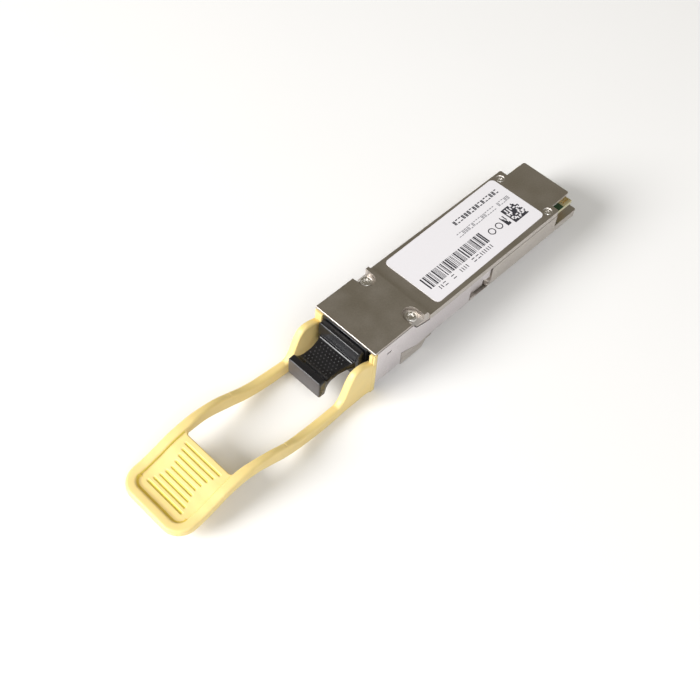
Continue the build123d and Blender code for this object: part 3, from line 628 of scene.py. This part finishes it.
def pad_slot(point, normal):
    """Slots on the pad's upper face: painted shade in the grooves, a darker painted shade in the cove
    where the floor climbs at the tip.
    """
    if normal.z < 0.1 or point.x > PAD_REAR - 0.5:
        return PLAIN
    if rim_rise(point.x, point.y) > 0.1:
        return TIP_COVE_SHADE_SLOT
    return HOLLOW_SHADE_SLOT if groove_depth(point.x, point.y) > 0.12 else PLAIN


def rim_slot(point, normal):
    """Slots on the strap: painted shade on the rim's inner walls along the two long sides of the pad."""
    inner_wall = abs(point.y) < PAD_HALF_WIDTH + 0.12 and abs(normal.y) > 0.6
    return HOLLOW_SHADE_SLOT if inner_wall and TAB_TIP + 1.5 < point.x < PAD_REAR else PLAIN


def on_side(side, inner, outer):
    """The span across between two distances from the middle, on one side."""
    return sorted((side * inner, side * outer))


def build_collars():
    """On each side, a lug under the nose lip, a wrap round the slider's front edge and an outer cheek."""
    parts = []
    for side, lug_inner in ((-1, LUG_INNER_NEAR), (1, LUG_INNER_FAR)):
        parts.append(slab(LUG_X, on_side(side, lug_inner, LUG_OUTER), LUG_Z, LUG_BEVEL))
        parts.append(slab(WRAP_X, on_side(side, *WRAP_Y), WRAP_Z, WRAP_BEVEL))
        parts.append(slab(CHEEK_X, on_side(side, *CHEEK_Y), CHEEK_Z, WRAP_BEVEL))
    return merge(parts)


def build_pull_tab():
    """Strap, pad floor and collars, which stand for the one moulded tab."""
    strap = make_object("tab_strap", *build_strap(), sharp_degrees=60)
    dress(strap, "release", "tab_plastic", MATERIALS["tab_plastic"], "pull_tab")
    # painted shade on the rim's inner walls
    paint_hollow_shade(strap, rim_slot)
    floor = make_object("tab_pad_floor", *build_pad_floor(), sharp_degrees=50)
    dress(floor, "release", "tab_plastic", MATERIALS["tab_plastic"])
    # painted shade in the pad's grooves and, darker, in the cove at the tip
    paint_hollow_shade(floor, pad_slot)
    collars = make_object("tab_collars", *build_collars(), sharp_degrees=50)
    dress(collars, "release", "tab_plastic", MATERIALS["tab_plastic"])


# ---------------------------------------------------------------- dust plug
NOSE_HALF_WIDTH = 3.95
NOSE_HALF_HEIGHT = 3.5
NOSE_CORNER = 0.45
DOT_ROWS = 8
DOT_COLUMNS = 8
DOT_FIRST = -9.3
DOT_ROW_PITCH = 0.86
DOT_COLUMN_PITCH = 0.92
DOT_STAGGER = 0.23
DOT_RADIUS = 0.19
DOT_HEIGHT = 0.21
DOT_SINK = 0.05

plug_top = smooth_curve([
    (-12.2, 1.95), (-12.16, 2.1), (-12.06, 2.22), (-11.9, 2.28), (-10.75, 2.28), (-10.5, 2.18),
    (-10.28, 1.9), (-9.9, 1.45), (-9.2, 1.0), (-8.2, 0.82), (-6.6, 0.74), (-4.6, 0.76), (-3.1, 0.84),
    (-2.75, 0.9),
    (-2.6, 0.98), (-2.45, 1.12), (-2.28, 1.16), (-2.12, 1.08), (-2.02, 1.1), (-1.95, 1.5),
    (-1.82, 3.9), (-1.76, 4.15), (-1.64, 4.3), (-1.5, 4.35), (-0.4, 4.35), (-0.25, 4.3), (-0.2, 4.2),
])
plug_bottom = smooth_curve([
    (-12.2, -2.6), (-12.14, -2.75), (-11.95, -2.8), (-10.75, -2.8), (-10.5, -2.7), (-10.28, -2.3),
    (-9.9, -1.5), (-9.2, -1.0), (-8.2, -0.82), (-6.6, -0.74), (-4.6, -0.76), (-3.1, -0.84),
    (-2.75, -0.9), (-2.45, -1.12), (-2.12, -1.1), (-1.95, -1.5), (-1.82, -3.9), (-1.64, -4.3),
    (-0.4, -4.35), (-0.2, -4.2),
])
plug_half_width = smooth_curve([
    (-12.2, 4.55), (-12.14, 4.72), (-12.0, 4.85), (-11.8, 4.9), (-10.8, 4.9), (-9.8, 4.6), (-8.0, 4.3),
    (-6.2, 4.3), (-4.0, 4.65), (-2.8, 5.0), (-2.3, 5.25), (-2.0, 5.45), (-1.85, 6.0), (-1.72, 6.14),
    (-1.5, 6.2), (-0.4, 6.2), (-0.2, 6.1),
])
plug_corner = smooth_curve([
    (-12.2, 0.35), (-11.9, 0.6), (-10.6, 0.5), (-9.5, 0.32), (-3.0, 0.3), (-2.1, 0.4), (-1.8, 0.6),
    (-0.2, 0.6),
])


def build_plug_shell():
    """Lip, waisted grip with its foot bead, and flange, as rounded sections along X."""
    xs = [PLUG_TIP, -12.18, -12.14, -12.08, -12.0, -11.88]
    xs += spaced((-11.75, -10.8, 0.2), (-10.75, -8.8, 0.08), (-8.8, -3.0, 0.3), (-3.0, -1.45, 0.045))
    xs += [-1.2, -0.8, -0.5, -0.4, -0.32, -0.26, -0.2]
    rings = []
    for x in xs:
        section = rounded_section(plug_half_width(x), plug_bottom(x), plug_top(x), plug_corner(x))
        rings.append([(x, y, z) for y, z in section])
    return skin(rings)


def build_plug_nose():
    """The hollow part inside the port: (x, half width, half height) along its outside, then its inside."""
    outer = [
        (x, NOSE_HALF_WIDTH - cut, NOSE_HALF_HEIGHT - cut)
        for x, cut in ((-0.3, 0), (6.2, 0), (6.42, 0.08), (6.5, 0.25))
    ]
    inner = [(6.5, 3.55, 2.65), (6.35, 3.45, 2.55), (1.6, 3.45, 2.55), (1.5, 3.3, 2.4)]
    rings = []
    for x, half_y, half_z in outer + inner:
        rings.append([(x, y, z) for y, z in rounded_section(half_y, -half_z, half_z, NOSE_CORNER)])
    return skin(rings)


def dome(x, y, z, radius, height, segments=8, rings=3):
    """A small closed button on a face that looks up (height > 0) or down."""
    vertices = [(x, y, z + height)]
    for ring in range(1, rings + 1):
        tilt = math.pi / 2 * ring / rings
        for k in range(segments):
            turn = 2 * math.pi * k / segments
            reach = radius * math.sin(tilt)
            rise = height * math.cos(tilt)
            vertices.append((x + reach * math.cos(turn), y + reach * math.sin(turn), z + rise))
    faces = [(0, 1 + k, 1 + (k + 1) % segments) for k in range(segments)]
    for ring in range(rings - 1):
        a = 1 + ring * segments
        for k in range(segments):
            j = (k + 1) % segments
            faces.append((a + k, a + segments + k, a + segments + j, a + j))
    base = 1 + (rings - 1) * segments
    faces.append(tuple(base + k for k in reversed(range(segments))))
    return vertices, faces


def build_plug_dots():
    """Staggered grip pips on both sides of the waist."""
    parts = []
    for row in range(DOT_ROWS):
        x = DOT_FIRST + row * DOT_ROW_PITCH
        stagger = DOT_STAGGER if row % 2 else -DOT_STAGGER
        for column in range(DOT_COLUMNS):
            y = (column - (DOT_COLUMNS - 1) / 2) * DOT_COLUMN_PITCH + stagger
            parts.append(dome(x, y, plug_top(x) - DOT_SINK, DOT_RADIUS, DOT_HEIGHT))
            parts.append(dome(x, y, plug_bottom(x) + DOT_SINK, DOT_RADIUS, -DOT_HEIGHT))
    return merge(parts)


def is_lip_face(face):
    """Whether a face is on the flat front of the lip, which gets a lighter grey as a painted reflection.
    """
    return face.center.x / MM < PLUG_TIP + 0.1 and face.normal.x < -0.8


def build_dust_plug():
    """Shell, nose and grip dots, which stand for the one moulded plug."""
    shell = make_object("plug_shell", *build_plug_shell(), sharp_degrees=50)
    dress(shell, "plug", "plug_plastic", MATERIALS["plug_plastic"], "dust_plug")
    # the lip's front face takes the lighter grey of a painted reflection
    shell.data.materials.append(LIP_REFLECTION_PAINT_BLACK)
    for face in shell.data.polygons:
        face.material_index = 1 if is_lip_face(face) else 0
    nose = make_object("plug_nose", *build_plug_nose(), sharp_degrees=50)
    dress(nose, "plug", "plug_plastic", MATERIALS["plug_plastic"])
    dots = make_object("plug_grip_dots", *build_plug_dots(), sharp_degrees=80)
    # the dots' lighter black is a painted highlight
    dress(dots, "plug", "plug_plastic", DOT_GLINT_PAINT_BLACK)


# ---------------------------------------------------------------- screws
SCREW_SEGMENTS = 72
RECESS_LOBES = 6
RECESS_INNER_SHARE = 0.66


def star(angle, outer, inner):
    """Radius of a lobed driver recess at an angle."""
    return (outer + inner) / 2 + (outer - inner) / 2 * math.cos(RECESS_LOBES * angle)


def build_screw(centre, recess, turn, profile):
    """One screw: rings from the floor of its lobed recess out over the head and down the shank.

    recess is (radius, floor z, rim z); profile lists (radius, z) from the recess rim onwards.
    """
    x, y = centre
    outer, floor_z, rim_z = recess
    angles = [2 * math.pi * k / SCREW_SEGMENTS for k in range(SCREW_SEGMENTS)]
    rings = []
    for share, z in ((0.25, floor_z), (0.86, floor_z), (0.95, floor_z + 0.06), (1.0, rim_z - 0.06)):
        ring = []
        for angle in angles:
            radius = share * star(angle + turn, outer, outer * RECESS_INNER_SHARE)
            ring.append((x + radius * math.cos(angle), y + radius * math.sin(angle), z))
        rings.append(ring)
    for radius, z in profile:
        rings.append([(x + radius * math.cos(a), y + radius * math.sin(a), z) for a in angles])
    return skin(rings)


def build_screw_pair(name, node, turns, shape):
    """Both screws of a CAD node, where its box puts them; shape(low, high, radius) draws them."""
    low, high = node_box(node)
    radius = (high.x - low.x) / 2
    centre_x = (low.x + high.x) / 2
    recess, profile = shape(low, high, radius)
    pair = [
        build_screw((centre_x, side * (high.y - radius)), recess, turn, profile)
        for side, turn in zip((-1, 1), turns)
    ]
    dress(
        make_object(name, *merge(pair), sharp_degrees=35),
        "housing", "screw_steel", MATERIALS["screw_steel"], node,
    )


def pan_head(low, high, radius):
    """Recess and profile of a pan-head screw with a raised ring round its recess."""
    top = high.z
    seat = top - 0.7
    profile = (
        (0.84, top - 0.01), (0.98, top), (1.06, top - 0.03), (1.12, top - 0.12), (1.18, top - 0.13),
        (radius - 0.14, top - 0.15), (radius - 0.04, top - 0.24), (radius, top - 0.36),
        (radius, seat + 0.08), (radius - 0.06, seat),
        (0.75, seat), (0.75, low.z + 0.3), (0.55, low.z),
    )
    return (0.80, top - 0.5, top), profile


def low_head(low, high, radius):
    """Recess and profile of a small low-head screw."""
    top = high.z
    profile = (
        (0.58, top - 0.01), (0.72, top), (0.86, top - 0.05), (radius - 0.06, top - 0.14),
        (radius, top - 0.22), (radius - 0.05, top - 0.3),
        (0.52, top - 0.62), (0.52, low.z + 0.2), (0.4, low.z),
    )
    return (0.55, top - 0.38, top), profile


def build_screws():
    """The two larger screws at the nose and the two small ones beside the tongue."""
    build_screw_pair("front_screw_heads", "front_screws", (-0.2, 0.6), pan_head)
    build_screw_pair("rear_screw_heads", "rear_screws", (0.8, 0.2), low_head)


# ---------------------------------------------------------------- return springs
SPRING_TURNS = 9
SPRING_STEPS = 28
SPRING_WIRE = 0.11  # half of the wire's thickness
WIRE_SIDES = 8


def build_coil(low, high):
    """A compression spring along X that fills the given box."""
    radius = (high.y - low.y) / 2 - SPRING_WIRE
    middle = (low + high) / 2
    start, end = low.x + SPRING_WIRE, high.x - SPRING_WIRE
    count = SPRING_TURNS * SPRING_STEPS
    rings = []
    for k in range(count + 1):
        angle = 2 * math.pi * k / SPRING_STEPS
        x = start + (end - start) * k / count
        ring = []
        for j in range(WIRE_SIDES):
            turn = 2 * math.pi * j / WIRE_SIDES
            reach = radius + SPRING_WIRE * math.cos(turn)
            ring.append((
                x + SPRING_WIRE * math.sin(turn),
                middle.y + reach * math.cos(angle),
                middle.z + reach * math.sin(angle),
            ))
        rings.append(ring)
    return skin(rings)


def build_springs():
    """A coil in each return spring's box; the springs shorten towards their fixed front ends as the tab is
    pulled, but these coils keep one length.
    """
    for side in ("left", "right"):
        node = "return_spring_" + side
        low, high = node_box(node)
        coil = make_object("return_coil_" + side, *build_coil(low, high), sharp_degrees=60)
        dress(coil, "housing", "spring_steel", MATERIALS["spring_steel"], node)
        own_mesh(coil)


# ---------------------------------------------------------------- label print
LABEL_TURN = math.radians(0.75)
LABEL_CENTRE = (LABEL_LOW + LABEL_HIGH) / 2
INK_HEIGHT = 0.012
INK_SINK = 0.004
BAR_WIDTHS = (0.14, 0.14, 0.28, 0.42)
BAR_GAPS = (0.16, 0.16, 0.3, 0.42)
DASH_WIDTH_SHARE = 0.66
DASH_FIT_SHARE = 0.7
UPRIGHT_BELOW = 0.45
LEVEL_BELOW = 0.95
RING_SEGMENTS = 32
RING_RADIUS = 1.0
RING_STROKE = 0.26

# print areas on the unturned label, as (x0, x1, y0, y1)
BAR_AREA = (23.0, 44.0, -4.2, -0.6)
CAPTION_AREA = (23.3, 44.0, -5.85, -4.8)
TITLE_AREA = (41.8, 58.3, 4.45, 5.75)
NOTE_AREA = (39.6, 58.3, 1.3, 2.5)
LARGE_GRID_AREA = (53.0, 58.0, -4.7, 0.1)
SMALL_GRID_AREA = (50.9, 52.2, -4.1, -1.1)
RING_CENTRES = ((46.6, -2.6), (49.2, -2.6))


def turn_with_label(vertices):
    """Points moved from the label's own unturned frame to where it is stuck."""
    turned = []
    for x, y, z in vertices:
        dx, dy = x - LABEL_CENTRE.x, y - LABEL_CENTRE.y
        turned.append((
            LABEL_CENTRE.x + dx * math.cos(LABEL_TURN) - dy * math.sin(LABEL_TURN),
            LABEL_CENTRE.y + dx * math.sin(LABEL_TURN) + dy * math.cos(LABEL_TURN),
            z,
        ))
    return turned


def ink_patch(x0, x1, y0, y1):
    """A thin raised rectangle of ink, given in the label's own unturned frame."""
    vertices, faces = slab((x0, x1), (y0, y1), (LABEL_HIGH.z - INK_SINK, LABEL_HIGH.z + INK_HEIGHT))
    return turn_with_label(vertices), faces


def bar_code(rng, x0, x1, y0, y1):
    """Generic upright bars of uneven width."""
    parts = []
    x = x0
    while x < x1:
        width = rng.choice(BAR_WIDTHS)
        gap = rng.choice(BAR_GAPS)
        parts.append(ink_patch(x, min(x + width, x1), y0, y1))
        x += width + gap
    return parts


def dash_row(rng, x0, x1, y0, y1, pitch, stroke):
    """A row of marks in place of text: each cell holds two strokes, upright or level, or stays empty."""
    parts = []
    x = x0
    wide = pitch * DASH_WIDTH_SHARE
    while x + pitch * DASH_FIT_SHARE <= x1:
        kind = rng.random()
        if kind < UPRIGHT_BELOW:
            parts.append(ink_patch(x, x + stroke, y0, y1))
            parts.append(ink_patch(x + wide - stroke, x + wide, y0, y1))
        elif kind < LEVEL_BELOW:
            parts.append(ink_patch(x, x + wide, y1 - stroke, y1))
            parts.append(ink_patch(x, x + wide, y0, y0 + stroke))
        x += pitch
    return parts


def dot_grid(rng, x0, x1, y0, y1, cells):
    """A generic grid: its first row and column are filled, and half of the rest at random."""
    parts = []
    step_x = (x1 - x0) / cells
    step_y = (y1 - y0) / cells
    for i in range(cells):
        for j in range(cells):
            if i == 0 or j == 0 or rng.random() < 0.5:
                across = (x0 + i * step_x, x0 + (i + 1) * step_x)
                upward = (y0 + j * step_y, y0 + (j + 1) * step_y)
                parts.append(ink_patch(*across, *upward))
    return parts


def ring_mark(x, y):
    """A plain flat ring of ink, as four rings of points: outer low and high, inner high and low."""
    inner_share = (RING_RADIUS - RING_STROKE) / RING_RADIUS
    low, high = LABEL_HIGH.z - INK_SINK, LABEL_HIGH.z + INK_HEIGHT
    rings = []
    for share, z in ((1, low), (1, high), (inner_share, high), (inner_share, low)):
        rings.append([])
        for k in range(RING_SEGMENTS):
            angle = 2 * math.pi * k / RING_SEGMENTS
            across, upward = RING_RADIUS * math.cos(angle) * share, RING_RADIUS * math.sin(angle) * share
            rings[-1].append((x + across, y + upward, z))
    vertices, faces = skin(rings, capped=False)
    inner_low = 3 * RING_SEGMENTS
    for k in range(RING_SEGMENTS):
        j = (k + 1) % RING_SEGMENTS
        faces.append((inner_low + k, inner_low + j, j, k))
    return turn_with_label(vertices), faces


def build_label_print():
    """Generic marks only: bars, dashes, grids and rings, drawn at random in one fixed order."""
    rng = random.Random(SEED)
    black = bar_code(rng, *BAR_AREA)
    black += dash_row(rng, *CAPTION_AREA, pitch=1.45, stroke=0.22)
    black += dash_row(rng, *TITLE_AREA, pitch=1.02, stroke=0.3)
    black += dot_grid(rng, *LARGE_GRID_AREA, cells=13)
    black += [ring_mark(x, y) for x, y in RING_CENTRES]
    black += dot_grid(rng, *SMALL_GRID_AREA, cells=4)
    grey = dash_row(rng, *NOTE_AREA, pitch=0.86, stroke=0.2)
    dress(make_object("label_print_black", *merge(black)), "housing", "label_film", INK_BLACK)
    dress(make_object("label_print_grey", *merge(grey)), "housing", "label_film", INK_GREY)


# ---------------------------------------------------------------- stage, lights, camera
STAGE_DROP = 0.06
FLOOR_Z = min(TAB_LOW.z, SHELL_BOTTOM) - STAGE_DROP
FLOOR_RINGS = ((60, 0), (400, 0), (1200, 0), (1600, 0.5))  # (radius, rise)
FLOOR_SEGMENTS = 48
LIGHT_TARGET = (0.01, 0, 0)

# where the object was seen from: the camera's place, the way it looks and its right-hand direction
CAMERA_PLACE = (-103.6, -90.3, 186.5)
CAMERA_VIEW = (0.4493, 0.3834, -0.8069)
CAMERA_RIGHT = (0.7003, -0.7120, 0.0517)
CAMERA_LENS = 54.46
CAMERA_SENSOR = 36

# the world is pale, and dark only round one direction
DARK_DIRECTION = (0.449, 0.383, 0.807)
WORLD_PALE = (0.55, 0.55, 0.55)
WORLD_DARK = (0.20, 0.18, 0.135)


def build_stage():
    """A wide pale floor, gently dished so that it isn't a plain plane."""
    rings = []
    for radius, rise in FLOOR_RINGS:
        rings.append([])
        for k in range(FLOOR_SEGMENTS):
            angle = 2 * math.pi * k / FLOOR_SEGMENTS
            rings[-1].append((radius * math.cos(angle), radius * math.sin(angle), FLOOR_Z + rise))
    vertices, faces = skin(rings, capped=False)
    faces.append(tuple(range(FLOOR_SEGMENTS)))
    floor = make_object("stage_floor", vertices, faces)
    shader = Shader("stage_paper", (0.93, 0.93, 0.93), 0.9, specular=0.1)
    shader.vary_colour(shader.noise(40.0), amount=0.003)
    floor.data.materials.append(shader.material)


def area_light(name, place, size, power, tint):
    """A round softbox, placed and sized in metres, that looks at the middle of the object."""
    light = bpy.data.lights.new(name, "AREA")
    light.shape = "DISK"
    light.size = size
    light.energy = power
    light.color = tint
    holder = bpy.data.objects.new(name, light)
    holder.location = place
    holder.rotation_euler = (Vector(LIGHT_TARGET) - Vector(place)).to_track_quat("-Z", "Y").to_euler()
    bpy.context.scene.collection.objects.link(holder)


def build_world():
    """A studio that is pale all round and darker, olive grey, high behind the object."""
    world = bpy.data.worlds.new("studio")
    world.use_nodes = True
    nodes = world.node_tree.nodes
    links = world.node_tree.links
    facing = nodes.new("ShaderNodeVectorMath")
    facing.operation = "DOT_PRODUCT"
    facing.inputs[1].default_value = DARK_DIRECTION
    links.new(nodes.new("ShaderNodeTexCoord").outputs["Generated"], facing.inputs[0])
    ramp = nodes.new("ShaderNodeValToRGB")
    ramp.color_ramp.interpolation = "EASE"
    pale, dark = ramp.color_ramp.elements
    pale.position, pale.color = 0.40, (*WORLD_PALE, 1)
    dark.position, dark.color = 0.72, (*WORLD_DARK, 1)
    links.new(facing.outputs["Value"], ramp.inputs["Fac"])
    links.new(ramp.outputs["Color"], nodes["Background"].inputs["Color"])
    bpy.context.scene.world = world


def build_lights():
    """The studio world, a key light beyond the tab's tip and a soft fill on the camera's side."""
    build_world()
    area_light("key", (-0.86, 0.34, 0.50), size=0.55, power=14.0, tint=(1.0, 0.99, 0.98))
    area_light("camera_fill", (-0.30, -0.55, 0.80), size=0.6, power=3.0, tint=(1.0, 1.0, 1.0))


def build_camera():
    """The camera stands where the object was seen from, with a slight roll."""
    forward = Vector(CAMERA_VIEW).normalized()
    right = Vector(CAMERA_RIGHT)
    right = (right - forward * right.dot(forward)).normalized()
    up = right.cross(forward)
    camera = bpy.data.objects.new("camera", bpy.data.cameras.new("camera"))
    turn = Matrix((right, up, -forward)).transposed().to_4x4()
    camera.matrix_world = Matrix.Translation(Vector(CAMERA_PLACE) * MM) @ turn
    camera.data.lens = CAMERA_LENS
    camera.data.sensor_width = CAMERA_SENSOR
    camera.data.clip_start = 0.01
    bpy.context.scene.collection.objects.link(camera)
    bpy.context.scene.camera = camera


dress_cad_nodes()
build_pull_tab()
build_dust_plug()
build_screws()
build_springs()
build_label_print()
build_stage()
build_lights()
build_camera()
bpy.context.scene.view_settings.view_transform = "Standard"
bpy.context.scene.view_settings.look = "None"
